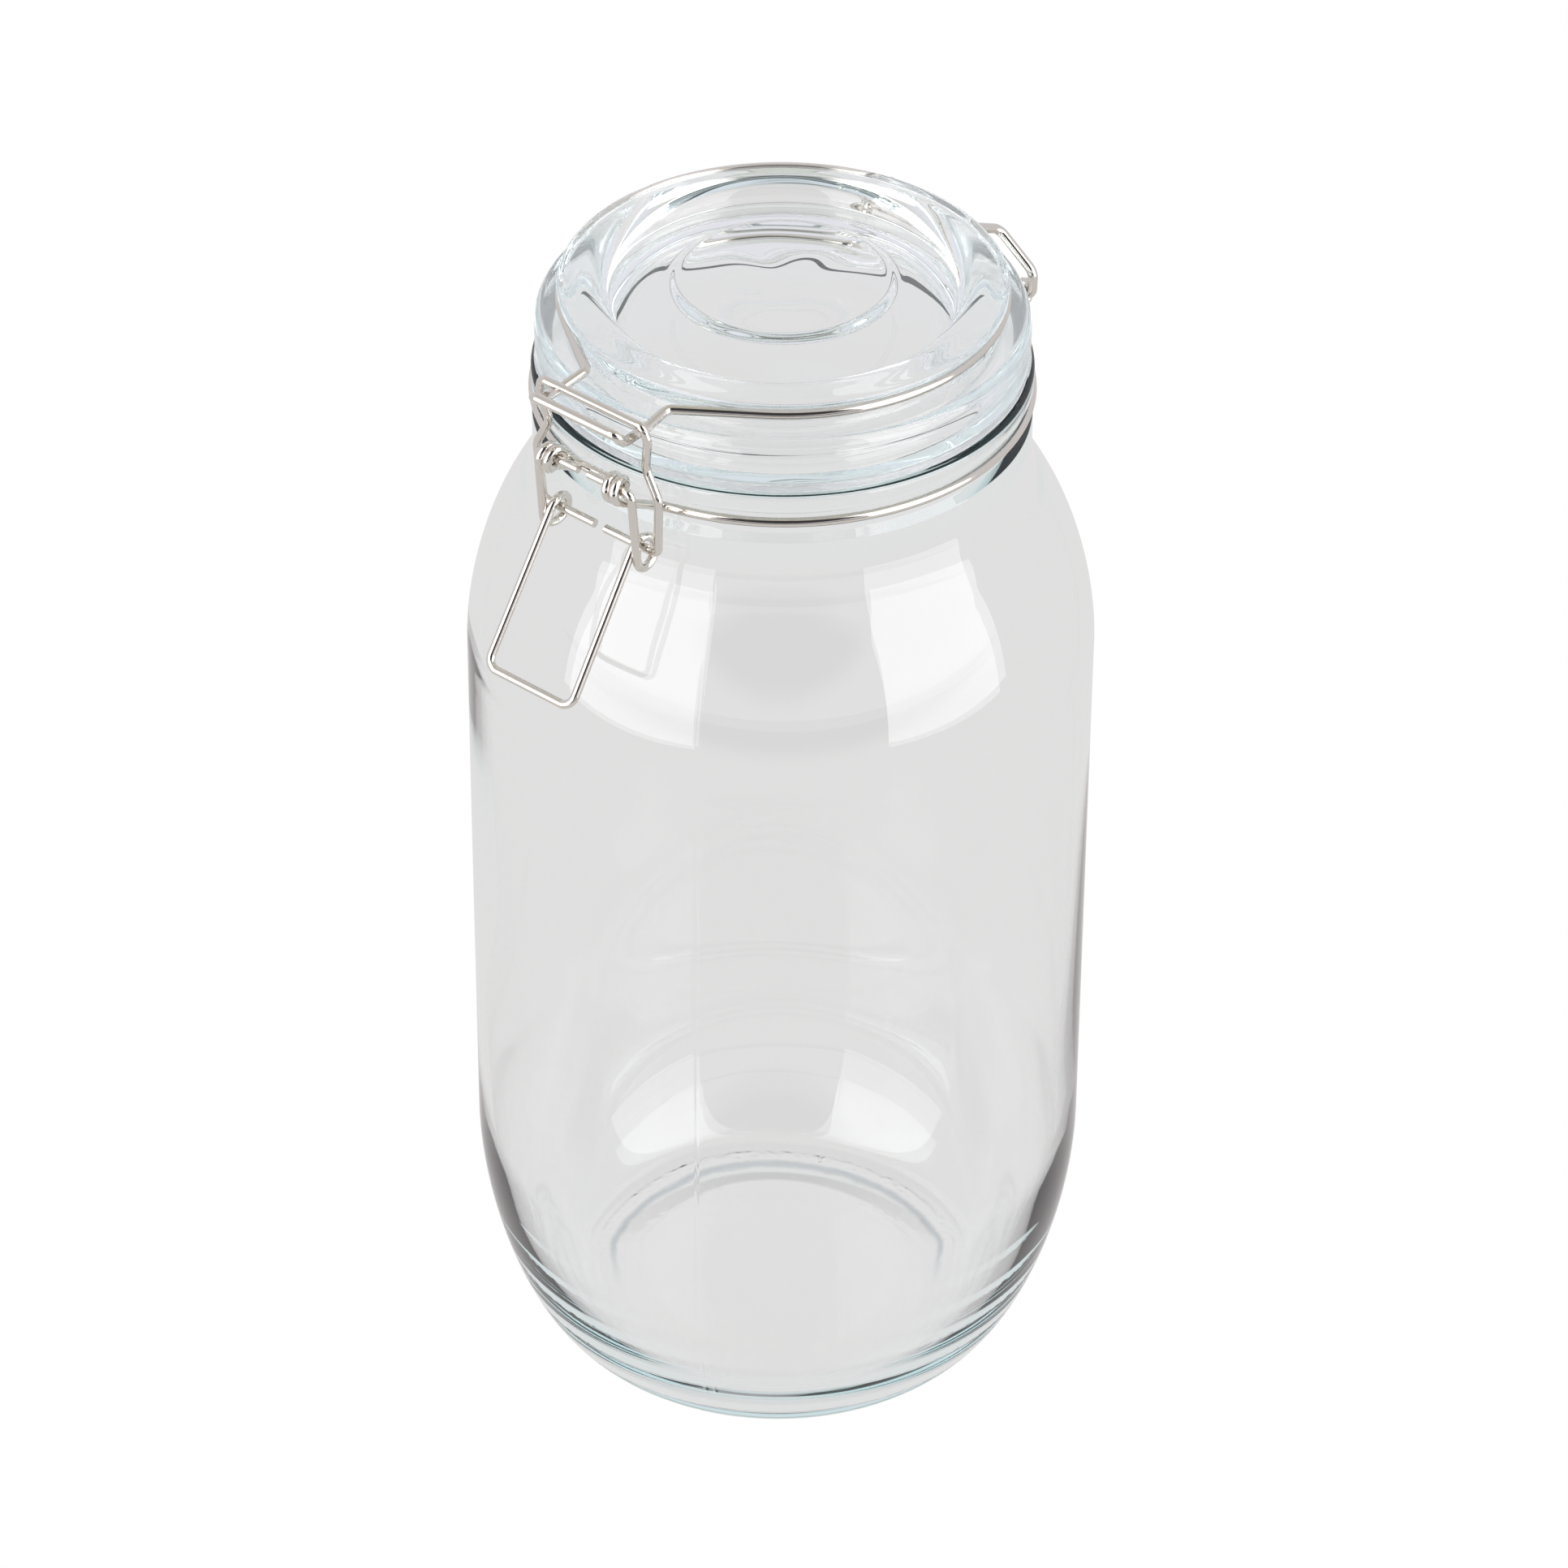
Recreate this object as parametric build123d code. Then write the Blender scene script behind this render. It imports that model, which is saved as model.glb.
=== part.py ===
from build123d import *
import os
from math import acos, asin, atan2, cos, degrees, hypot, radians, sin, tan

# A clip-top glass jar: a blown jar, a pressed glass lid with a soft sealing ring, and four bent wires.
# One wire sits in a groove round the lid and one in a groove round the neck. They hinge together at the
# back, and at the front an over-centre lever on the neck wire pulls a link down over the lid wire.
#
# Millimetres. +Z is up and the origin is the middle of the base. The latch faces -Y, the hinge +Y.

# ---- Jar, outside ----
body_radius = 60.0
heel_foot_radius = 42.2  # where the heel leaves the table
heel_height = 48.5  # where the heel becomes the straight wall
heel_fullness = 0.449  # a little flatter than a quarter of an ellipse, which is 0.552
shoulder_start = 162.8
shoulder_flat = (35.8, 207.5)  # radius and height towards which the shoulder curls
shoulder_power = 1.75
shoulder_cut_deg = 38.0  # the shoulder's curve is left here for the neck
neck_radius = 46.9
neck_start = 209.0
neck_groove_radius = 45.6
neck_groove_low = 214.4
neck_groove_high = 221.2
rim_radius = 47.0
rim_top = 224.5
rim_edge = 0.9  # rounding of the rim's corners
groove_low_slope = 1.5  # height over which the groove's lower side slopes in
groove_high_slope = 1.0

# ---- Jar, inside ----
inner_radius = 56.5
floor_height = 5.0
floor_radius = 38.7
inner_heel_height = 52.0
inner_shoulder_flat = (32.3, 204.0)
inner_shoulder_cut_deg = 44.0
mouth_radius = 42.0
mouth_start = 206.5
bearing_inner_radius = 35.4
push_up_height = 1.4
push_up_slope = 1.6  # width of the slope between the bearing ring and the push-up

# ---- Lid ----
plug_radius = 39.2
plug_bottom = 223.6
plug_edge = 0.8
hollow_radius = 32.2
hollow_fullness = 0.8  # nearly flat in the middle and steep at the edge
lid_underside = 230.6
flange_radius = 46.2
flange_bottom = 226.5
flange_top = 235.8
flange_edge = 0.8
flange_shoulder_radius = 44.4
flange_shoulder_drop = 2.6
lid_groove_radius = 40.2
lid_groove_low = 236.1
lid_groove_high = 239.5
lid_groove_corner = (1.0, 1.1)  # width and height of the rounding at the groove's foot
ridge_radius = 42.1
ridge_lip = (41.3, 240.0)  # radius and height where the groove's roof meets the ridge
ridge_widest = 240.7
ridge_crest_radius = 37.4
ridge_top = 242.0
recess_slope = (34.3, 240.9)  # a point on the slope from the ridge down to the recess
recess_radius = 32.4
recess_height = 238.2
dome_shoulder = (27.0, 240.3)  # the dome inside the recess bulges towards this point
boss_foot = (21.6, 241.0)
boss_radius = 19.2
boss_height = 242.3
boss_dish = 0.8

# ---- Sealing ring ----
seal_inner_radius = 39.3
seal_outer_radius = 46.0
seal_bottom = 224.55
seal_edge = 0.5

# ---- Wires ----
lid_wire_diameter = 1.9
neck_wire_diameter = 1.8
link_diameter = 1.7
lever_diameter = 1.7
lid_ring_radius = 41.3
lid_ring_height = 238.8
neck_ring_radius = 46.6
neck_ring_height = 218.9
coil_radius = 2.1
coil_pitch = 1.85
bar_bend = 1.2
wire_butt_gap = 0.3

# Points in the plane of symmetry: distance out from the jar's axis, and height.
hinge_axis = (48.5, 223.0)
lever_axis = (55.6, 226.9)
link_axis = (51.3, 212.8)
link_bar = (53.3, 240.7)
catch_bar = (58.2, 240.3)
catch_dip = (56.0, 238.0)
handle_tip = (71.5, 187.5)
coil_drop = 0.2  # each pin is pulled up against the top of its coil by this much
loop_radius = 2.9
loop_drop = 0.95

coil_step = 45.0  # a coil is made of bends of about this many degrees
bend_share = 0.98  # share of each run's half that a coil's bend takes up


def bulge(flat, wall, power, start_deg=0.0, count=8):
    """Points of a superellipse quarter, from where it runs flat to where it runs into the wall."""
    points = []
    for i in range(count):
        t = radians(start_deg + (90.0 - start_deg) * i / (count - 1))
        radius = flat[0] + (wall[0] - flat[0]) * sin(t) ** (2 / power)
        height = wall[1] + (flat[1] - wall[1]) * max(cos(t), 0.0) ** (2 / power)
        points.append((radius, height))
    return points


def at(radius, height):
    return (radius, 0.0, height)


def line(a, b):
    return Edge.make_line(at(*a), at(*b))


def arc(a, middle, b):
    return Edge.make_three_point_arc(at(*a), at(*middle), at(*b))


def curve(points, start_way, end_way):
    """A smooth curve through points of the outline, with the ways that it starts and ends."""
    return Edge.make_spline([at(*p) for p in points], tangents=[at(*start_way), at(*end_way)])


def bow(a, b, outward, fullness=0.552):
    """A smooth quarter curve from a to b that bulges towards the sharp corner outward."""
    pull_a = [p + (c - p) * fullness for p, c in zip(a, outward)]
    pull_b = [p + (c - p) * fullness for p, c in zip(b, outward)]
    return Edge.make_bezier(at(*a), at(*pull_a), at(*pull_b), at(*b))


def corner(a, b, outward):
    """A quarter-round from a to b. outward is the sharp corner that it replaces."""
    center = [p + q - c for p, q, c in zip(a, b, outward)]
    middle = [m + (c - m) * cos(radians(45)) for m, c in zip(center, outward)]
    return arc(a, middle, b)


def turned(edges):
    """The solid swept by an outline once round the jar's axis."""
    return revolve(Face(Wire(edges)), axis=Axis.Z)


def jar_body():
    foot = (heel_foot_radius, 0.0)
    wall_low = (body_radius, heel_height)
    wall_high = (body_radius, shoulder_start)
    shoulder = bulge(shoulder_flat, wall_high, shoulder_power, shoulder_cut_deg)
    neck_foot = (neck_radius, neck_start)
    neck_top = (neck_radius, neck_groove_low)
    groove_low = (neck_groove_radius, neck_groove_low + groove_low_slope)
    groove_high = (neck_groove_radius, neck_groove_high - groove_high_slope)
    rim_foot = (rim_radius, neck_groove_high)
    rim_outer = (rim_radius, rim_top - rim_edge)
    rim_flat_outer = (rim_radius - rim_edge, rim_top)
    rim_flat_inner = (mouth_radius + rim_edge, rim_top)
    rim_inner = (mouth_radius, rim_top - rim_edge)
    mouth_foot = (mouth_radius, mouth_start)
    inner_wall_high = (inner_radius, shoulder_start)
    inner_wall_low = (inner_radius, inner_heel_height)
    inner_shoulder = bulge(inner_shoulder_flat, inner_wall_high, shoulder_power, inner_shoulder_cut_deg)
    floor_edge = (floor_radius, floor_height)
    bearing_inner = (bearing_inner_radius, 0.0)
    push_up_middle = (bearing_inner_radius - push_up_slope, push_up_height / 2)
    return turned(
        [
            line(bearing_inner, foot),
            bow(foot, wall_low, (body_radius, 0.0), heel_fullness),
            line(wall_low, wall_high),
            curve(shoulder[::-1] + [neck_foot], (0, 1), (0, 1)),
            line(neck_foot, neck_top),
            line(neck_top, groove_low),
            line(groove_low, groove_high),
            line(groove_high, rim_foot),
            line(rim_foot, rim_outer),
            corner(rim_outer, rim_flat_outer, (rim_radius, rim_top)),
            line(rim_flat_outer, rim_flat_inner),
            corner(rim_flat_inner, rim_inner, (mouth_radius, rim_top)),
            line(rim_inner, mouth_foot),
            curve([mouth_foot] + inner_shoulder, (0, -1), (0, -1)),
            line(inner_wall_high, inner_wall_low),
            bow(inner_wall_low, floor_edge, (inner_radius, floor_height), heel_fullness),
            line(floor_edge, (0, floor_height)),
            line((0, floor_height), (0, push_up_height)),
            curve([(0, push_up_height), push_up_middle, bearing_inner], (1, 0), (1, -0.8)),
        ]
    )


def lid():
    hollow_top = (0, lid_underside)
    hollow_edge = (hollow_radius, plug_bottom)
    plug_flat_outer = (plug_radius - plug_edge, plug_bottom)
    plug_outer_low = (plug_radius, plug_bottom + plug_edge)
    plug_top = (plug_radius, flange_bottom)
    flange_flat = (flange_radius - flange_edge, flange_bottom)
    flange_low = (flange_radius, flange_bottom + flange_edge)
    flange_high = (flange_radius, flange_top - flange_shoulder_drop)
    flange_shoulder = (flange_shoulder_radius, flange_top)
    groove_foot = (lid_groove_radius + lid_groove_corner[0], lid_groove_low)
    groove_low = (lid_groove_radius, lid_groove_low + lid_groove_corner[1])
    groove_high = (lid_groove_radius, lid_groove_high)
    ridge_side = (ridge_radius, ridge_widest)
    ridge_crest = (ridge_crest_radius, ridge_top)
    recess_edge = (recess_radius, recess_height)
    boss_side = ((boss_foot[0] + boss_radius) / 2, (boss_foot[1] + boss_height) / 2)
    boss_edge = (boss_radius, boss_height)
    boss_middle = (0, boss_height - boss_dish)
    return turned(
        [
            bow(hollow_top, hollow_edge, (hollow_radius, lid_underside), hollow_fullness),
            line(hollow_edge, plug_flat_outer),
            line(plug_flat_outer, plug_outer_low),
            line(plug_outer_low, plug_top),
            line(plug_top, flange_flat),
            corner(flange_flat, flange_low, (flange_radius, flange_bottom)),
            line(flange_low, flange_high),
            bow(flange_high, flange_shoulder, (flange_radius, flange_top)),
            line(flange_shoulder, groove_foot),
            bow(groove_foot, groove_low, (lid_groove_radius, lid_groove_low)),
            line(groove_low, groove_high),
            line(groove_high, ridge_lip),
            bow(ridge_lip, ridge_side, (ridge_radius, ridge_lip[1])),
            bow(ridge_side, ridge_crest, (ridge_radius, ridge_top)),
            curve([ridge_crest, recess_slope, recess_edge], (-1, 0), (-0.25, -1)),
            bow(recess_edge, boss_foot, dome_shoulder, 0.5),
            curve([boss_foot, boss_side, boss_edge], (-1, 0.13), (-1, 0)),
            bow(boss_edge, boss_middle, (boss_radius / 2, boss_height - boss_dish), 0.5),
            line(boss_middle, hollow_top),
        ]
    )


def seal():
    low, high = seal_bottom, flange_bottom
    inner, outer, edge = seal_inner_radius, seal_outer_radius, seal_edge
    return turned(
        [
            line((inner, low), (outer - edge, low)),
            corner((outer - edge, low), (outer, low + edge), (outer, low)),
            line((outer, low + edge), (outer, high - edge)),
            corner((outer, high - edge), (outer - edge, high), (outer, high)),
            line((outer - edge, high), (inner, high)),
            line((inner, high), (inner, low)),
        ]
    )


def bent_wire(half, diameter):
    """A round wire, the same on both sides of the plane of symmetry.

    half lists its corners on the +X side, each (x, y, z, bend radius), from its free end to its middle.
    Straight runs between the corners are joined by tangent bends.
    """
    corners = half + [(-x, y, z, bend) for x, y, z, bend in reversed(half)]
    here = Vector(*corners[0][:3])
    edges = []
    for before, this, after in zip(corners, corners[1:], corners[2:]):
        tip = Vector(*this[:3])
        back = (Vector(*before[:3]) - tip).normalized()
        ahead = (Vector(*after[:3]) - tip).normalized()
        half_turn = (radians(180) - acos(back.dot(ahead))) / 2
        setback = this[3] * tan(half_turn)
        enter = tip + back * setback
        leave = tip + ahead * setback
        middle = tip + (back + ahead).normalized() * this[3] * (1 / cos(half_turn) - 1)
        edges.append(Edge.make_line(here, enter))
        edges.append(Edge.make_three_point_arc(enter, middle, leave))
        here = leave
    edges.append(Edge.make_line(here, Vector(*corners[-1][:3])))
    path = Wire(edges)
    section = Plane(origin=path @ 0, z_dir=path % 0) * Circle(diameter / 2)
    return sweep(section, path=path)


def coil(center, radius, start_deg, turn_deg, x_start, x_drift):
    """Corners of a coil round an X axis, in a plane with out and up, and the angle where it ends.

    It starts at start_deg on the circle and turns by turn_deg, while x moves by x_drift.
    """
    count = round(abs(turn_deg) / coil_step)
    step = turn_deg / count
    reach = radius / cos(radians(step / 2))
    corners = []
    for i in range(count):
        angle = radians(start_deg + step * (i + 0.5))
        x = x_start + x_drift * (i + 0.5) / count
        out = center[0] + reach * cos(angle)
        up = center[1] + reach * sin(angle)
        corners.append((x, out, up, radius * bend_share))
    return corners


def front(corners):
    """Corners given as (x, out, up, bend), with out towards the latch."""
    return [(x, -out, up, bend) for x, out, up, bend in corners]


def ring_corner(radius, height, from_deg, to_deg):
    """The one corner, where two tangents meet, whose bend is the ring between two angles from the latch."""
    middle = radians((from_deg + to_deg) / 2)
    reach = radius / cos(radians(to_deg - from_deg) / 2)
    return (reach * sin(middle), -reach * cos(middle), height, radius)


def tangent_corner(radius, height, touch_deg, corner_deg, bend):
    """A corner on the ring's tangent at touch_deg, seen at corner_deg from the latch."""
    reach = radius / cos(radians(touch_deg - corner_deg))
    angle = radians(corner_deg)
    return (reach * sin(angle), -reach * cos(angle), height, bend)


def lid_wire():
    catch_x = 10.2
    pin_end_x = 14.6
    leg_x = 20.6
    front_touch, rear_touch = 35.4, 158.0
    radius, height = lid_ring_radius, lid_ring_height
    out, up = hinge_axis
    half = [
        (pin_end_x, out, up, 0.0),
        (leg_x, out, up, 2.0),
        (leg_x + 0.3, out - 0.2, up + 5.7, 3.0),
        (13.0, out - 0.9, up + 12.4, 2.5),
        tangent_corner(radius, height, rear_touch, 163.8, 2.0),
        ring_corner(radius, height, front_touch, rear_touch),
        tangent_corner(radius, height, front_touch, 12.6, 2.2),
        (catch_x, -50.0, catch_dip[1], 4.0),
        (catch_x, -catch_dip[0], catch_dip[1], 1.6),
        (catch_x, -catch_bar[0], catch_bar[1], 1.3),
    ]
    return bent_wire(half, lid_wire_diameter)


def touch_below(point, center, radius):
    """Where on a circle the tangent from point touches its underside, in degrees."""
    out, up = center[0] - point[0], center[1] - point[1]
    return degrees(atan2(up, out) - asin(radius / hypot(out, up))) - 90.0


def past(center, radius, angle_deg, distance):
    """The point a distance beyond where a coil leaves its circle, turning anticlockwise."""
    angle = radians(angle_deg)
    out = center[0] + radius * cos(angle) - distance * sin(angle)
    up = center[1] + radius * sin(angle) + distance * cos(angle)
    return out, up


def neck_wire():
    front_touch, rear_touch = 18.0, 150.0
    radius, height = neck_ring_radius, neck_ring_height
    front_arm = tangent_corner(radius, height, front_touch, 12.2, 2.0)
    rear_arm = tangent_corner(radius, height, rear_touch, 156.0, 2.0)

    front_center = (lever_axis[0], lever_axis[1] - coil_drop)
    front_start = touch_below((-front_arm[1], height), front_center, coil_radius)
    front_turn = 13 * coil_step
    front_x = 9.35
    front_drift = coil_pitch * front_turn / 360
    front_bar = past(front_center, coil_radius, front_start + front_turn, bar_bend + 0.1)

    rear_center = (hinge_axis[0], hinge_axis[1] - coil_drop)
    rear_start = touch_below((rear_arm[1], height), rear_center, coil_radius)
    rear_turn = 8 * coil_step
    rear_x = 18.6
    rear_drift = coil_pitch * rear_turn / 360
    rear_bar = past(rear_center, coil_radius, rear_start + rear_turn, bar_bend + 0.1)

    front_coil = coil(front_center, coil_radius, front_start, front_turn, front_x, -front_drift)
    rear_coil = coil(rear_center, coil_radius, rear_start, rear_turn, rear_x, -rear_drift)
    half = [
        (wire_butt_gap / 2, *rear_bar, 0.0),
        (rear_x - rear_drift, *rear_bar, bar_bend),
        *reversed(rear_coil),
        rear_arm,
        ring_corner(radius, height, front_touch, rear_touch),
        front_arm,
        *front(front_coil),
        *front([(front_x - front_drift, *front_bar, bar_bend)]),
    ]
    return bent_wire(half, neck_wire_diameter)


def lever_handle():
    pin_end_x = 1.3
    leg_x = 11.3
    loop_outer_x = 11.6
    loop_inner_x = 9.85
    tip_x = 10.3
    center = (link_axis[0], link_axis[1] - loop_drop)
    to_lever = (lever_axis[0] - center[0], lever_axis[1] - center[1])
    to_tip = (handle_tip[0] - center[0], handle_tip[1] - center[1])
    start = degrees(atan2(to_lever[1], to_lever[0]) - acos(loop_radius / hypot(*to_lever)))
    end = degrees(atan2(to_tip[1], to_tip[0]) + acos(loop_radius / hypot(*to_tip)))
    turn = end - start - 360.0
    half = [
        (pin_end_x, *lever_axis, 0.0),
        (leg_x, *lever_axis, 1.5),
        *coil(center, loop_radius, start, turn, loop_outer_x, loop_inner_x - loop_outer_x),
        (tip_x, *handle_tip, 2.4),
    ]
    return bent_wire(front(half), lever_diameter)


def closing_link():
    pin_end_x = 1.3
    foot_x = 14.0
    wide_x = 14.8
    waist_x = 11.6
    bow_x = 13.1
    bar_x = 12.2
    half = [
        (pin_end_x, *link_axis, 0.0),
        (foot_x, *link_axis, 1.5),
        (wide_x, 52.0, 225.2, 4.0),
        (waist_x, 51.9, 231.0, 4.0),
        (bow_x, 52.9, 237.6, 3.0),
        (bar_x, *link_bar, 1.5),
    ]
    return bent_wire(front(half), link_diameter)


nodes = {
    "jar_body": jar_body,
    "lid": lid,
    "seal_ring": seal,
    "lid_wire": lid_wire,
    "neck_wire": neck_wire,
    "closing_link": closing_link,
    "lever_handle": lever_handle,
}

os.makedirs("parts", exist_ok=True)
for name, make in nodes.items():
    export_step(make(), f"parts/{name}.step")
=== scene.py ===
import math

import bmesh
import bpy
import numpy as np
from mathutils import Matrix, Vector


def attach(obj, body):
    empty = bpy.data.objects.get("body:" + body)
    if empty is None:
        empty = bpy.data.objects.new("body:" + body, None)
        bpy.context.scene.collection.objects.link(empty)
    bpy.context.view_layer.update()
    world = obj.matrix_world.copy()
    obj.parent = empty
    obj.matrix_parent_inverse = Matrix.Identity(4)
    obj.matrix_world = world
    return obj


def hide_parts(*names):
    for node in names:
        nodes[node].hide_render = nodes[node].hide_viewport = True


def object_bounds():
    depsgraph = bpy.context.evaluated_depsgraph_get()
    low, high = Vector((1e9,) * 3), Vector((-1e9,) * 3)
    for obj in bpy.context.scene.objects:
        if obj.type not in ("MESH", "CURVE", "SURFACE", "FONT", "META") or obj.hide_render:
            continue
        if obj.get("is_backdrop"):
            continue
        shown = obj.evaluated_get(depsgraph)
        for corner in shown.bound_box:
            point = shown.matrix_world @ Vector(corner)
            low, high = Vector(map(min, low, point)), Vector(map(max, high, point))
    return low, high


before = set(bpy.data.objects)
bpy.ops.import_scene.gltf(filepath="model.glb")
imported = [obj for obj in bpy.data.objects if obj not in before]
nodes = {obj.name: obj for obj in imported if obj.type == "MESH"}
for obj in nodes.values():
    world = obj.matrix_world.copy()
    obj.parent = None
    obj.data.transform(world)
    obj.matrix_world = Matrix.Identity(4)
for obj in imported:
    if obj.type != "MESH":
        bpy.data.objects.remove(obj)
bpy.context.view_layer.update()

MM = 0.001

# Radii and heights of the glass, in millimetres.
BODY_RADIUS = 60.0
HEEL_FOOT = 42.2
HEEL_TOP = 48.5
HEEL_FULLNESS = 0.449
WALL_TOP = 162.8
SHOULDER_POWER = 1.75
NECK_RADIUS = 46.9
NECK_START = 209.0
GROOVE_RADIUS = 45.6
RIM_RADIUS = 47.0
RIM_TOP = 224.5
MOUTH_RADIUS = 42.0
MOUTH_START = 206.5
INNER_RADIUS = 56.5
INNER_HEEL_TOP = 52.0
FLOOR_RADIUS = 38.7
FLOOR_HEIGHT = 5.0
HOLLOW_RADIUS = 32.2
HOLLOW_TOP = 230.6
PLUG_RADIUS = 39.2
PLUG_BOTTOM = 223.6
FLANGE_RADIUS = 46.2
FLANGE_BOTTOM = 226.5
FLANGE_TOP = 235.8
SEAL_INNER = 39.3
SEAL_OUTER = 46.0
SEAL_BOTTOM = 224.56
SEAL_TOP = 226.47

# Faults of the glass, in millimetres.
WALL_WAVE = 0.13
WALL_RIPPLE = 0.035
SKIN_WAVE = 0.03
FLOOR_WAVE = 0.10
SEAM_HEIGHT = 0.025
SEAM_WIDTH = 0.28
STEP_WAVE = 0.12
STIPPLE_HEIGHT = 0.26
LID_UNDER_WAVE = 0.10
LID_TOP_WAVE = 0.05

QUARTER_ELLIPSE = 0.552  # the fullness that makes a bow a quarter of an ellipse


# ---------------------------------------------------------------- outlines
# An outline is a list of (radius, height) in millimetres, as dense as the surface needs.


def straight(a, b, step):
    """Points from a up to but not including b, at most step apart."""
    count = max(1, math.ceil(math.dist(a, b) / step))
    return [tuple(p + (q - p) * i / count for p, q in zip(a, b)) for i in range(count)]


def bezier(a, pull_a, pull_b, b, count):
    points = []
    for i in range(count):
        t = i / count
        u = 1 - t
        points.append(
            tuple(
                u**3 * p + 3 * u * u * t * q + 3 * u * t * t * r + t**3 * s
                for p, q, r, s in zip(a, pull_a, pull_b, b)
            )
        )
    return points


def bow(a, b, outward, fullness, count):
    """A smooth quarter curve from a to b, without b, that bulges towards the sharp corner outward."""
    pull_a = tuple(p + (c - p) * fullness for p, c in zip(a, outward))
    pull_b = tuple(p + (c - p) * fullness for p, c in zip(b, outward))
    return bezier(a, pull_a, pull_b, b, count)


def bulge(flat, wall, power, start_deg, count):
    """A superellipse from the wall back to start_deg, where it starts to run flat."""
    points = []
    for i in range(count):
        t = math.radians(90 - (90 - start_deg) * i / (count - 1))
        radius = flat[0] + (wall[0] - flat[0]) * math.sin(t) ** (2 / power)
        height = wall[1] + (flat[1] - wall[1]) * max(math.cos(t), 0.0) ** (2 / power)
        points.append((radius, height))
    return points


def eased(corners, step, turns):
    """Straight runs between corners, each (radius, height, rounding), with the corners rounded.

    A point is added close to each end of a rounding, so that the flats beside it stay flat.
    """
    out = []
    for i, (x, z, size) in enumerate(corners):
        here = np.array((x, z))
        if size == 0 or i in (0, len(corners) - 1):
            ends = [here]
        else:
            before = np.array(corners[i - 1][:2]) - here
            after = np.array(corners[i + 1][:2]) - here
            before_way = before / np.linalg.norm(before)
            after_way = after / np.linalg.norm(after)
            half = math.acos(np.clip(before_way @ after_way, -1, 1)) / 2
            setback = min(
                size / math.tan(half),
                0.45 * np.linalg.norm(before),
                0.45 * np.linalg.norm(after),
            )
            radius = setback * math.tan(half)
            middle = before_way + after_way
            centre = here + middle / np.linalg.norm(middle) * radius / math.sin(half)
            a, b = here + before_way * setback - centre, here + after_way * setback - centre
            full = math.acos(np.clip(a @ b / (radius * radius), -1, 1))
            ends = [here + before_way * setback * 1.25]
            for k in range(turns + 1):
                t = k / turns
                ends.append(centre + (a * math.sin((1 - t) * full) + b * math.sin(t * full)) / math.sin(full))
            ends.append(here + after_way * setback * 1.25)
        if out:
            out += straight(out.pop(), tuple(ends[0]), step)
        out += [tuple(p) for p in ends]
    return out


# ---------------------------------------------------------------- turned pieces


def ring_angles(count, lines=(), spread_deg=()):
    """Angles round the jar, evenly spaced, with closer ones beside each line."""
    angles = set(round(i * 360 / count, 6) for i in range(count))
    for line in lines:
        for d in spread_deg:
            angles.add(round((line + d) % 360, 6))
            angles.add(round((line - d) % 360, 6))
    return np.radians(sorted(angles))


def turned(name, outline, angles, shape=None, closed=False):
    """A mesh swept by an outline round the jar's axis.

    shape(radius, height, angle, row) gives the moved radius and height, in millimetres.
    """
    profile = np.array(outline)
    rows = len(profile)
    on_axis = [i for i in (0, rows - 1) if profile[i, 0] < 1e-6] if not closed else []
    ring_rows = [i for i in range(rows) if i not in on_axis]
    r = np.repeat(profile[ring_rows, 0][:, None], len(angles), 1)
    z = np.repeat(profile[ring_rows, 1][:, None], len(angles), 1)
    a = np.repeat(angles[None, :], len(ring_rows), 0)
    if shape:
        r, z = shape(r, z, a, np.array(ring_rows)[:, None])
    co = np.stack([r * np.sin(a), -r * np.cos(a), z], -1).reshape(-1, 3) * MM
    n = len(angles)
    faces = []
    runs = len(ring_rows) if closed else len(ring_rows) - 1
    for i in range(runs):
        low, high = i * n, ((i + 1) % len(ring_rows)) * n
        for k in range(n):
            m = (k + 1) % n
            faces.append((low + k, low + m, high + m, high + k))
    verts = [tuple(c) for c in co]
    for end in on_axis:
        tip = len(verts)
        verts.append((0.0, 0.0, profile[end, 1] * MM))
        base = 0 if end == 0 else (len(ring_rows) - 1) * n
        for k in range(n):
            m = (k + 1) % n
            faces.append((tip, base + m, base + k) if end == 0 else (tip, base + k, base + m))
    mesh = bpy.data.meshes.new(name)
    mesh.from_pydata(verts, [], faces)
    mesh.validate()
    mesh.shade_smooth()
    obj = bpy.data.objects.new(name, mesh)
    bpy.context.scene.collection.objects.link(obj)
    return obj


def waves(seed, count, turns, heights):
    """A smooth random function of angle and height, from about -1 to 1."""
    rng = np.random.default_rng(seed)
    terms = []
    for _ in range(count):
        turn = int(rng.integers(turns[0], turns[1] + 1)) * (1 if rng.random() < 0.5 else -1)
        wave = rng.uniform(*heights)
        terms.append((turn, 2 * math.pi / wave, rng.uniform(0, 2 * math.pi), rng.uniform(0.5, 1)))
    total = math.sqrt(sum(t[3] ** 2 for t in terms))

    def value(angle, height):
        return sum(s * np.sin(t * angle + k * height + p) for t, k, p, s in terms) / total

    return value


def band(height, low, high, soft):
    """1 between low and high, and smoothly 0 outside."""
    up = np.clip((height - low) / soft, 0, 1)
    down = np.clip((high - height) / soft, 0, 1)
    return up * up * (3 - 2 * up) * down * down * (3 - 2 * down)


# ---------------------------------------------------------------- the jar


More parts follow.
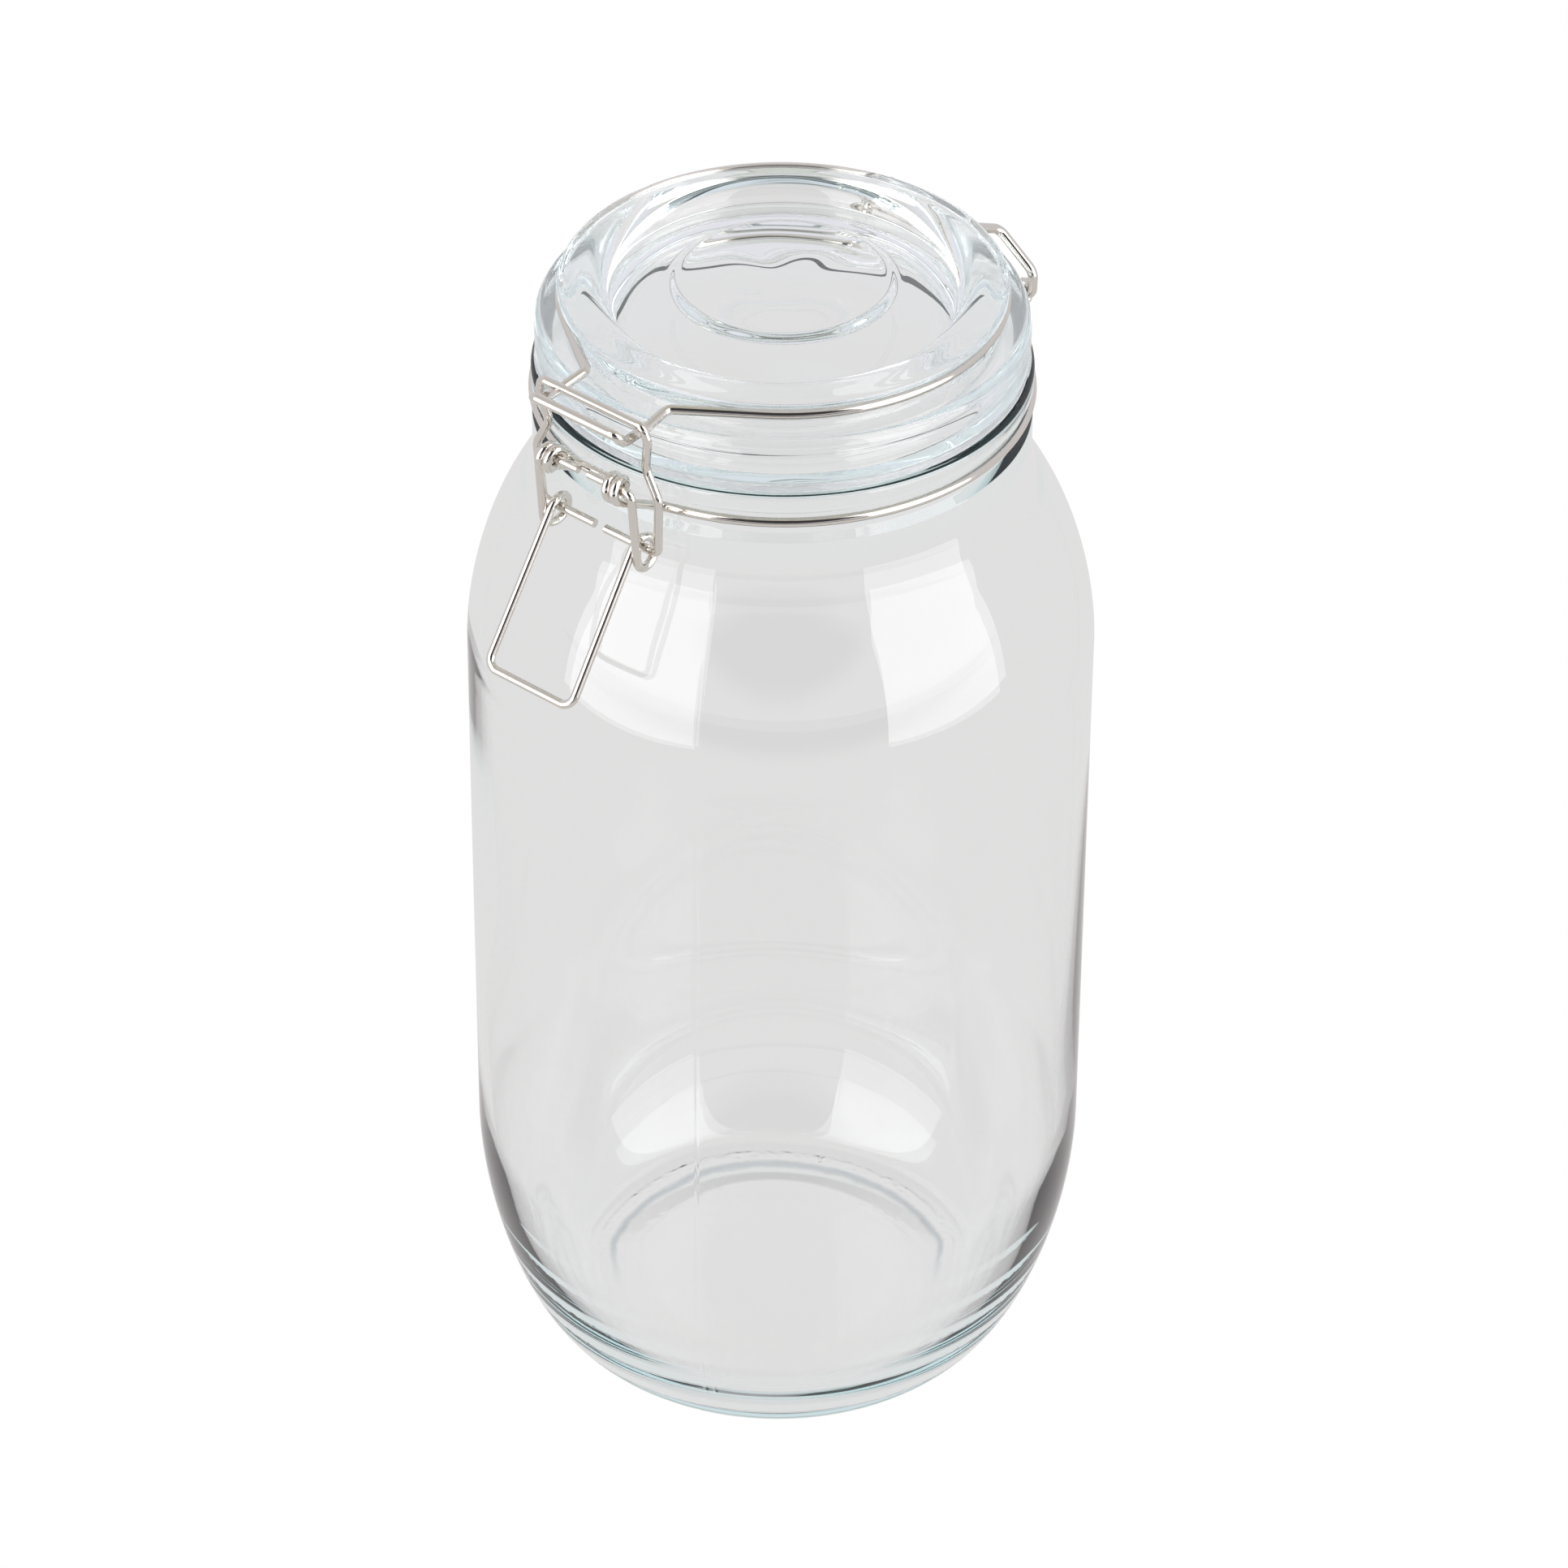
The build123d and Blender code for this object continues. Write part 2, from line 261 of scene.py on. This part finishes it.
def jar_outline():
    """The jar's outline, and the row where the inside starts.

    It runs from the middle of the underside, up the outside, over the rim and down the inside to the floor.
    The underside is lower and gentler than the CAD's.
    """
    under = eased([(0, 1.4, 0), (21.6, 1.38, 0), (22.6, 1.3, 0), (28.6, 1.1, 14.0), (35.6, 0.01, 0)], 1.2, 5)
    bearing = straight((36.1, 0.0), (HEEL_FOOT, 0.0), 0.5)
    heel = bow((HEEL_FOOT, 0.0), (BODY_RADIUS, HEEL_TOP), (BODY_RADIUS, 0.0), HEEL_FULLNESS, 26)
    wall = straight((BODY_RADIUS, HEEL_TOP), (BODY_RADIUS, WALL_TOP), 6.0)
    shoulder = bulge((35.8, 207.5), (BODY_RADIUS, WALL_TOP), SHOULDER_POWER, 38, 24)
    neck = bezier(shoulder[-1], (47.62, 200.27), (NECK_RADIUS, 203.0), (NECK_RADIUS, NECK_START), 8)
    finish = eased(
        [
            (NECK_RADIUS, NECK_START, 0),
            (NECK_RADIUS, 214.4, 0.5),
            (GROOVE_RADIUS, 215.9, 0.5),
            (GROOVE_RADIUS, 220.2, 0.5),
            (RIM_RADIUS, 221.2, 0.35),
            (RIM_RADIUS, RIM_TOP, 0.9),
            (MOUTH_RADIUS, RIM_TOP, 0.9),
            (MOUTH_RADIUS, MOUTH_START, 0),
        ],
        2.6,
        4,
    )
    inner_shoulder = bulge((32.3, 204.0), (INNER_RADIUS, WALL_TOP), SHOULDER_POWER, 44, 22)[::-1]
    cut = inner_shoulder[0]
    throat = bezier((MOUTH_RADIUS, MOUTH_START), (MOUTH_RADIUS, 202.5), (cut[0] - 1.9, cut[1] + 2.9), cut, 8)
    inside = straight((INNER_RADIUS, WALL_TOP), (INNER_RADIUS, INNER_HEEL_TOP), 6.0)
    inner_heel = bow(
        (INNER_RADIUS, INNER_HEEL_TOP),
        (FLOOR_RADIUS, FLOOR_HEIGHT),
        (INNER_RADIUS, FLOOR_HEIGHT),
        HEEL_FULLNESS,
        26,
    )
    floor = straight((FLOOR_RADIUS, FLOOR_HEIGHT), (0.0, FLOOR_HEIGHT), 2.6) + [(0.0, FLOOR_HEIGHT)]
    outside = under + bearing + heel + wall + shoulder[:-1] + neck
    return (
        outside + finish[:-1] + throat + inner_shoulder[:-1] + inside + inner_heel + floor,
        len(outside) + len(finish) // 2,
    )


SEAMS_DEG = (25.3, 205.3)


def jar_shape(inner_from):
    """The jar's faults: uneven walls and floor, two mould seams and a rough bearing ring."""
    thickness = waves(3, 9, (1, 5), (90, 260))
    ripple = waves(11, 12, (3, 11), (70, 180))
    skin = waves(5, 8, (1, 4), (120, 400))
    floor_wave = waves(8, 6, (1, 4), (200, 400))
    edge = waves(41, 10, (3, 28), (900, 1000))
    rng = np.random.default_rng(21)

    def shape(r, z, a, row):
        inside = (row >= inner_from).astype(float)
        wall = band(z, 12, 204, 26)
        r = r + inside * wall * (WALL_WAVE * thickness(a, z) + WALL_RIPPLE * ripple(a, z))
        r = r + (1 - inside) * band(z, 8, 200, 30) * SKIN_WAVE * skin(a, z)
        flat = inside * band(z, 2, 14, 4) * np.clip(r / 40, 0, 1)
        z = z + flat * FLOOR_WAVE * floor_wave(a, r * 3)
        away = [(a - math.radians(s) + math.pi) % (2 * math.pi) - math.pi for s in SEAMS_DEG]
        seam = sum(np.exp(-((d * r / SEAM_WIDTH) ** 2)) for d in away)
        r = r + (1 - inside) * band(z, 1, 206, 4) * SEAM_HEIGHT * seam
        step = (1 - inside) * (z < 1.0) * band(r, 33.6, 35.9, 0.6)
        r = r + step * STEP_WAVE * edge(a, 0)
        stipple = (1 - inside) * (z < 0.05) * band(r, 36.0, 39.4, 0.8)
        z = z + stipple * rng.uniform(0.0, STIPPLE_HEIGHT, r.shape)
        return r, z

    return shape


def lid_outline():
    """The lid's outline from the middle of its underside, out, up and back to the middle of its top."""
    hollow = bow((0.0, HOLLOW_TOP), (HOLLOW_RADIUS, PLUG_BOTTOM), (HOLLOW_RADIUS, HOLLOW_TOP), 0.8, 34)
    plug = eased(
        [
            (HOLLOW_RADIUS, PLUG_BOTTOM, 0),
            (PLUG_RADIUS, PLUG_BOTTOM, 0.9),
            (PLUG_RADIUS, FLANGE_BOTTOM, 0.3),
            (FLANGE_RADIUS, FLANGE_BOTTOM, 0.8),
            (FLANGE_RADIUS, 233.2, 0),
        ],
        1.6,
        6,
    )
    flange = bow((FLANGE_RADIUS, 233.2), (44.4, FLANGE_TOP), (FLANGE_RADIUS, FLANGE_TOP), QUARTER_ELLIPSE, 9)
    groove = eased(
        [
            (44.4, FLANGE_TOP, 0),
            (41.2, 236.1, 0.5),
            (40.3, 236.9, 0.5),
            (40.2, 239.4, 0.4),
            (41.4, 240.0, 0.25),
            (42.06, 240.5, 0.5),
            (42.0, 241.0, 0.8),
        ],
        1.2,
        5,
    )
    ridge = bezier((42.0, 241.0), (41.7, 241.8), (39.6, 242.0), (37.4, 242.0), 10)
    slope = bezier((37.4, 242.0), (34.9, 242.0), (32.9, 240.6), (32.44, 238.45), 12)
    recess = [(32.42, 238.3), (32.36, 238.22), (32.2, 238.24)]
    dome = bow((32.0, 238.3), (21.9, 240.96), (27.0, 240.3), 0.5, 16)
    boss = bezier((21.9, 240.96), (20.6, 241.1), (20.4, 242.3), (18.9, 242.3), 14)
    dish = bezier((18.9, 242.3), (15.5, 242.3), (10.0, 241.5), (0.0, 241.5), 14) + [(0.0, 241.5)]
    return hollow + plug[:-1] + flange + groove[:-1] + ridge + slope + recess + dome + boss + dish


def lid_shape():
    """Slow waves in the lid's underside and, fainter, in its top."""
    top = waves(31, 8, (1, 6), (150, 400))
    under = waves(37, 8, (2, 7), (60, 160))

    def shape(r, z, a, row):
        wave = np.where(z < 234, LID_UNDER_WAVE * under(a, r * 4), LID_TOP_WAVE * top(a, r * 4))
        z = z + band(r, 3, 39, 6) * wave
        return r, z

    return shape


def seal_outline():
    return eased(
        [
            (SEAL_INNER, SEAL_TOP, 0),
            (SEAL_INNER, SEAL_BOTTOM, 0.25),
            (SEAL_OUTER, SEAL_BOTTOM, 0.7),
            (SEAL_OUTER, SEAL_TOP, 0.7),
            (SEAL_INNER, SEAL_TOP, 0),
        ],
        1.2,
        5,
    )[:-1]


jar_line, inner_from = jar_outline()
jar_angles = ring_angles(360, SEAMS_DEG, (0.12, 0.26, 0.42, 0.6, 0.8))
jar_glass = turned("jar_glass", jar_line, jar_angles, jar_shape(inner_from))
lid_glass = turned("lid_glass", lid_outline(), ring_angles(320), lid_shape())
seal = turned("silicone_seal", seal_outline(), ring_angles(240), closed=True)

for piece in (jar_glass, lid_glass, seal):
    bm = bmesh.new()
    bm.from_mesh(piece.data)
    bmesh.ops.recalc_face_normals(bm, faces=bm.faces)
    bm.to_mesh(piece.data)
    bm.free()

# ---------------------------------------------------------------- materials

GLASS_TINT = (0.5, 0.89, 0.91)
GLASS_IOR = 1.52
STEEL_TONE = (0.70, 0.675, 0.63)
STEEL_ROUGHNESS = (0.05, 0.16)
TRAPPED_COLOUR = (0.0, 0.82, 1.0, 1)
RIM_GLOW = 0.0045
SEAL_GLOW = 0.006


def material(name):
    made = bpy.data.materials.new(name)
    made.use_nodes = True
    tree = made.node_tree
    return made, tree, tree.nodes["Principled BSDF"]


def node(tree, kind, **values):
    made = tree.nodes.new(kind)
    for key, value in values.items():
        setattr(made, key, value)
    return made


def trapped_light(tree, low, high):
    """A faint glow between two heights, which stands in for light that runs round inside the glass."""
    place = node(tree, "ShaderNodeTexCoord")
    parts = node(tree, "ShaderNodeSeparateXYZ")
    tree.links.new(place.outputs["Object"], parts.inputs[0])
    above = node(tree, "ShaderNodeMath", operation="GREATER_THAN")
    above.inputs[1].default_value = low * MM
    tree.links.new(parts.outputs["Z"], above.inputs[0])
    below = node(tree, "ShaderNodeMath", operation="LESS_THAN")
    below.inputs[1].default_value = high * MM
    tree.links.new(parts.outputs["Z"], below.inputs[0])
    both = node(tree, "ShaderNodeMath", operation="MULTIPLY")
    tree.links.new(above.outputs[0], both.inputs[0])
    tree.links.new(below.outputs[0], both.inputs[1])
    strength = node(tree, "ShaderNodeMath", operation="MULTIPLY")
    strength.inputs[1].default_value = RIM_GLOW
    tree.links.new(both.outputs[0], strength.inputs[0])
    return strength.outputs[0]


def glass(name, density, rim):
    """Clear glass that absorbs along its depth, with a faint glow between the two heights in rim."""
    made, tree, shader = material(name)
    shader.inputs["Base Color"].default_value = (1, 1, 1, 1)
    shader.inputs["Roughness"].default_value = 0.0
    shader.inputs["IOR"].default_value = GLASS_IOR
    shader.inputs["Transmission Weight"].default_value = 1.0
    shader.inputs["Emission Color"].default_value = TRAPPED_COLOUR
    tree.links.new(trapped_light(tree, *rim), shader.inputs["Emission Strength"])
    volume = node(tree, "ShaderNodeVolumeAbsorption")
    volume.inputs["Color"].default_value = (*GLASS_TINT, 1)
    volume.inputs["Density"].default_value = density
    output = tree.nodes["Material Output"]
    tree.links.new(volume.outputs[0], output.inputs["Volume"])
    return made


def steel(name):
    """Bright drawn wire with a fine uneven skin."""
    made, tree, shader = material(name)
    shader.inputs["Base Color"].default_value = (*STEEL_TONE, 1)
    shader.inputs["Metallic"].default_value = 1.0
    place = node(tree, "ShaderNodeTexCoord")
    noise = node(tree, "ShaderNodeTexNoise")
    noise.inputs["Scale"].default_value = 900
    noise.inputs["Detail"].default_value = 4
    tree.links.new(place.outputs["Object"], noise.inputs["Vector"])
    rough = node(tree, "ShaderNodeMapRange")
    rough.inputs["To Min"].default_value = STEEL_ROUGHNESS[0]
    rough.inputs["To Max"].default_value = STEEL_ROUGHNESS[1]
    tree.links.new(noise.outputs["Fac"], rough.inputs["Value"])
    tree.links.new(rough.outputs[0], shader.inputs["Roughness"])
    bump = node(tree, "ShaderNodeBump")
    bump.inputs["Strength"].default_value = 0.08
    bump.inputs["Distance"].default_value = 0.0001
    tree.links.new(noise.outputs["Fac"], bump.inputs["Height"])
    tree.links.new(bump.outputs[0], shader.inputs["Normal"])
    return made


def silicone(name):
    made, tree, shader = material(name)
    shader.inputs["Base Color"].default_value = (0.93, 0.93, 0.93, 1)
    shader.inputs["Roughness"].default_value = 0.22
    shader.inputs["IOR"].default_value = 1.41
    shader.inputs["Transmission Weight"].default_value = 0.92
    # Painted light: the seal glows faintly in the trapped colour, which stands in for light caught in the
    # glass round it.
    shader.inputs["Emission Color"].default_value = TRAPPED_COLOUR
    shader.inputs["Emission Strength"].default_value = SEAL_GLOW
    return made


def dress(obj, made):
    if obj.material_slots:
        for s in obj.material_slots:
            s.link = "OBJECT"
            s.material = made
    else:
        obj.data.materials.append(made)


dress(jar_glass, glass("soda_lime_jar", 8.0, (209, 226)))
dress(lid_glass, glass("soda_lime_lid", 3.0, (222, 229)))
dress(seal, silicone("clear_silicone"))
for wire in ("lid_wire", "neck_wire", "closing_link", "lever_handle"):
    dress(nodes[wire], steel("steel_" + wire))
    nodes[wire].data.shade_smooth()

for piece in (jar_glass, lid_glass, seal):
    piece.visible_shadow = False

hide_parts("jar_body")
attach(jar_glass, "jar")
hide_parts("lid")
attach(lid_glass, "lid")
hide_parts("seal_ring")
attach(seal, "lid")

# ---------------------------------------------------------------- stage

scene = bpy.context.scene
scene.view_settings.view_transform = "Standard"
scene.cycles.max_bounces = 64
scene.cycles.transmission_bounces = 64
scene.cycles.glossy_bounces = 10
scene.cycles.volume_bounces = 0
scene.cycles.transparent_max_bounces = 12
scene.cycles.caustics_reflective = True
scene.cycles.caustics_refractive = True

VIEW_AZIMUTH = 40.2
VIEW_ELEVATION = 36.43
VIEW_DISTANCE = 1.3827
LOOK_AT = Vector((0, 0, 0.1255))
VIEW_ROLL = 0.404

FLOOR = (0.772, 0.748, 0.746, 1)
WALLS = (0.80, 0.775, 0.82, 1)
CEILING = (0.62, 0.60, 0.53, 1)
SHADE = (0.50, 0.515, 0.53, 1)
DARK = (0.05, 0.05, 0.055, 1)
FLOOR_HALF_WIDTH = 12.0
FLOOR_LEVEL = -0.0003  # just under the jar

SOFTBOX_COLOUR = (1, 0.97, 0.98)
SOFTBOX_DISTANCE = 0.80
SOFTBOX_STRIPS = (
    # low, high, radiance
    (0.0, 0.10, 1.9),
    (0.10, 0.20, 2.2),
    (0.20, 1.4, 2.5),
    (1.4, 1.6, 2.0),
    (1.6, 1.8, 1.3),
    (1.8, 2.0, 0.6),
)


def direction(azimuth, elevation):
    a, e = math.radians(azimuth), math.radians(elevation)
    return Vector((math.sin(a) * math.cos(e), -math.cos(a) * math.cos(e), math.sin(e)))


def camera_white(tree, seen_otherwise):
    """Pure white for the camera itself, and the given colour for every other ray."""
    path = node(tree, "ShaderNodeLightPath")
    mix = node(tree, "ShaderNodeMix", data_type="RGBA")
    colours = [s for s in mix.inputs if s.type == "RGBA"]
    tree.links.new(path.outputs["Is Camera Ray"], mix.inputs[0])
    tree.links.new(seen_otherwise, colours[0])
    colours[1].default_value = (1, 1, 1, 1)
    return [s for s in mix.outputs if s.type == "RGBA"][0]


def toward_camera(tree, place, elevation, start, end):
    """How far a position or direction lies towards the camera, from 0 at start to 1 at end."""
    dot = node(tree, "ShaderNodeVectorMath", operation="DOT_PRODUCT")
    dot.inputs[1].default_value = direction(VIEW_AZIMUTH, elevation)
    tree.links.new(place, dot.inputs[0])
    share = node(tree, "ShaderNodeMapRange", interpolation_type="SMOOTHSTEP")
    share.inputs["From Min"].default_value = start
    share.inputs["From Max"].default_value = end
    tree.links.new(dot.outputs["Value"], share.inputs["Value"])
    return share.outputs[0]


def blend(tree, share, first, second):
    """first where share is 0 and second where it is 1; each is a colour or a socket."""
    mix = node(tree, "ShaderNodeMix", data_type="RGBA")
    tree.links.new(share, mix.inputs[0])
    for socket, value in zip([s for s in mix.inputs if s.type == "RGBA"], (first, second)):
        if isinstance(value, tuple):
            socket.default_value = value
        else:
            tree.links.new(value, socket)
    return [s for s in mix.outputs if s.type == "RGBA"][0]


def contact_shade(tree, place):
    """How deep the soft, uneven ring of shade inside the bearing ring is; it is lost at the front."""
    flat = node(tree, "ShaderNodeVectorMath", operation="LENGTH")
    tree.links.new(place, flat.inputs[0])
    uneven = node(tree, "ShaderNodeTexNoise")
    uneven.inputs["Scale"].default_value = 60
    uneven.inputs["Detail"].default_value = 6
    uneven.inputs["Roughness"].default_value = 0.75
    tree.links.new(place, uneven.inputs["Vector"])
    radius = node(tree, "ShaderNodeMath", operation="MULTIPLY_ADD")
    radius.inputs[1].default_value = 2.6 * MM
    tree.links.new(uneven.outputs["Fac"], radius.inputs[0])
    tree.links.new(flat.outputs["Value"], radius.inputs[2])
    sides = []
    for start, end in ((35.6, 36.8), (38.2, 36.9)):
        side = node(tree, "ShaderNodeMapRange", interpolation_type="SMOOTHSTEP")
        side.inputs["From Min"].default_value = start * MM
        side.inputs["From Max"].default_value = end * MM
        tree.links.new(radius.outputs[0], side.inputs["Value"])
        sides.append(side.outputs[0])
    sides.append(toward_camera(tree, place, 0, 0.012, -0.006))
    share = sides[0]
    for side in sides[1:]:
        product = node(tree, "ShaderNodeMath", operation="MULTIPLY")
        tree.links.new(share, product.inputs[0])
        tree.links.new(side, product.inputs[1])
        share = product.outputs[0]
    return share


def floor_plane():
    """A plain pale floor that ends in the dark some way in front of the jar."""
    sides = ((-1, -1), (1, -1), (1, 1), (-1, 1))
    corners = [(x * FLOOR_HALF_WIDTH, y * FLOOR_HALF_WIDTH, FLOOR_LEVEL) for x, y in sides]
    mesh = bpy.data.meshes.new("floor")
    mesh.from_pydata(corners, [], [(0, 1, 2, 3)])
    obj = bpy.data.objects.new("floor", mesh)
    scene.collection.objects.link(obj)
    made = bpy.data.materials.new("pale_floor")
    made.use_nodes = True
    tree = made.node_tree
    tree.nodes.clear()
    output = node(tree, "ShaderNodeOutputMaterial")
    glow = node(tree, "ShaderNodeEmission")
    place = node(tree, "ShaderNodeTexCoord")
    ahead = toward_camera(tree, place.outputs["Object"], 0, 0.6, 1.4)
    shade = blend(tree, contact_shade(tree, place.outputs["Object"]), FLOOR, SHADE)
    pale = blend(tree, ahead, shade, DARK)
    tree.links.new(camera_white(tree, pale), glow.inputs["Color"])
    tree.links.new(glow.outputs[0], output.inputs["Surface"])
    mesh.materials.append(made)
    obj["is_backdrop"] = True


def surroundings():
    """Pale lilac walls, a greyer ceiling and the dark of the studio behind the camera."""
    world = bpy.data.worlds.new("studio")
    world.use_nodes = True
    tree = world.node_tree
    place = node(tree, "ShaderNodeTexCoord")
    parts = node(tree, "ShaderNodeSeparateXYZ")
    tree.links.new(place.outputs["Generated"], parts.inputs[0])
    height = node(tree, "ShaderNodeMapRange", interpolation_type="SMOOTHSTEP")
    height.inputs["From Min"].default_value = 0.6
    height.inputs["From Max"].default_value = 0.95
    tree.links.new(parts.outputs["Z"], height.inputs["Value"])
    room = blend(tree, height.outputs[0], WALLS, CEILING)
    behind = toward_camera(tree, place.outputs["Generated"], 40, 0.80, 0.90)
    lit = blend(tree, behind, room, DARK)
    tree.links.new(camera_white(tree, lit), tree.nodes["Background"].inputs["Color"])
    scene.world = world


def softbox(name, azimuth, width, low, high, radiance):
    """One strip of a tall panel that faces the jar, between two heights."""
    data = bpy.data.lights.new(name, "AREA")
    data.shape = "RECTANGLE"
    data.size = width
    data.size_y = high - low
    data.energy = radiance * math.pi * width * (high - low)
    data.color = SOFTBOX_COLOUR
    lamp = bpy.data.objects.new(name, data)
    scene.collection.objects.link(lamp)
    out = direction(azimuth, 0)
    lamp.location = out * SOFTBOX_DISTANCE + Vector((0, 0, (low + high) / 2))
    lamp.rotation_euler = out.to_track_quat("Z", "Y").to_euler()
    lamp.visible_camera = False


floor_plane()
surroundings()

# Each softbox is brightest in the middle of its height and fades at both ends.
# The right one is a little weaker.
for side, azimuth, width, share in (("left", -54, 0.74, 1.0), ("right", 60, 0.70, 0.95)):
    for i, (low, high, radiance) in enumerate(SOFTBOX_STRIPS):
        softbox(f"softbox_{side}_{i}", VIEW_AZIMUTH + azimuth, width, low, high, radiance * share)

camera_data = bpy.data.cameras.new("camera")
camera_data.sensor_width = 36
camera_data.lens = 163.1
camera_data.shift_x = 0.0027
camera_data.clip_start = 0.05
camera_data.clip_end = 60
camera = bpy.data.objects.new("camera", camera_data)
scene.collection.objects.link(camera)
back = direction(VIEW_AZIMUTH, VIEW_ELEVATION)
camera.location = LOOK_AT + back * VIEW_DISTANCE
camera.rotation_mode = "QUATERNION"
aim = (-back).to_track_quat("-Z", "Y")
roll = Matrix.Rotation(math.radians(VIEW_ROLL), 3, "Z").to_quaternion()
camera.rotation_quaternion = aim @ roll
scene.camera = camera

low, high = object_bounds()
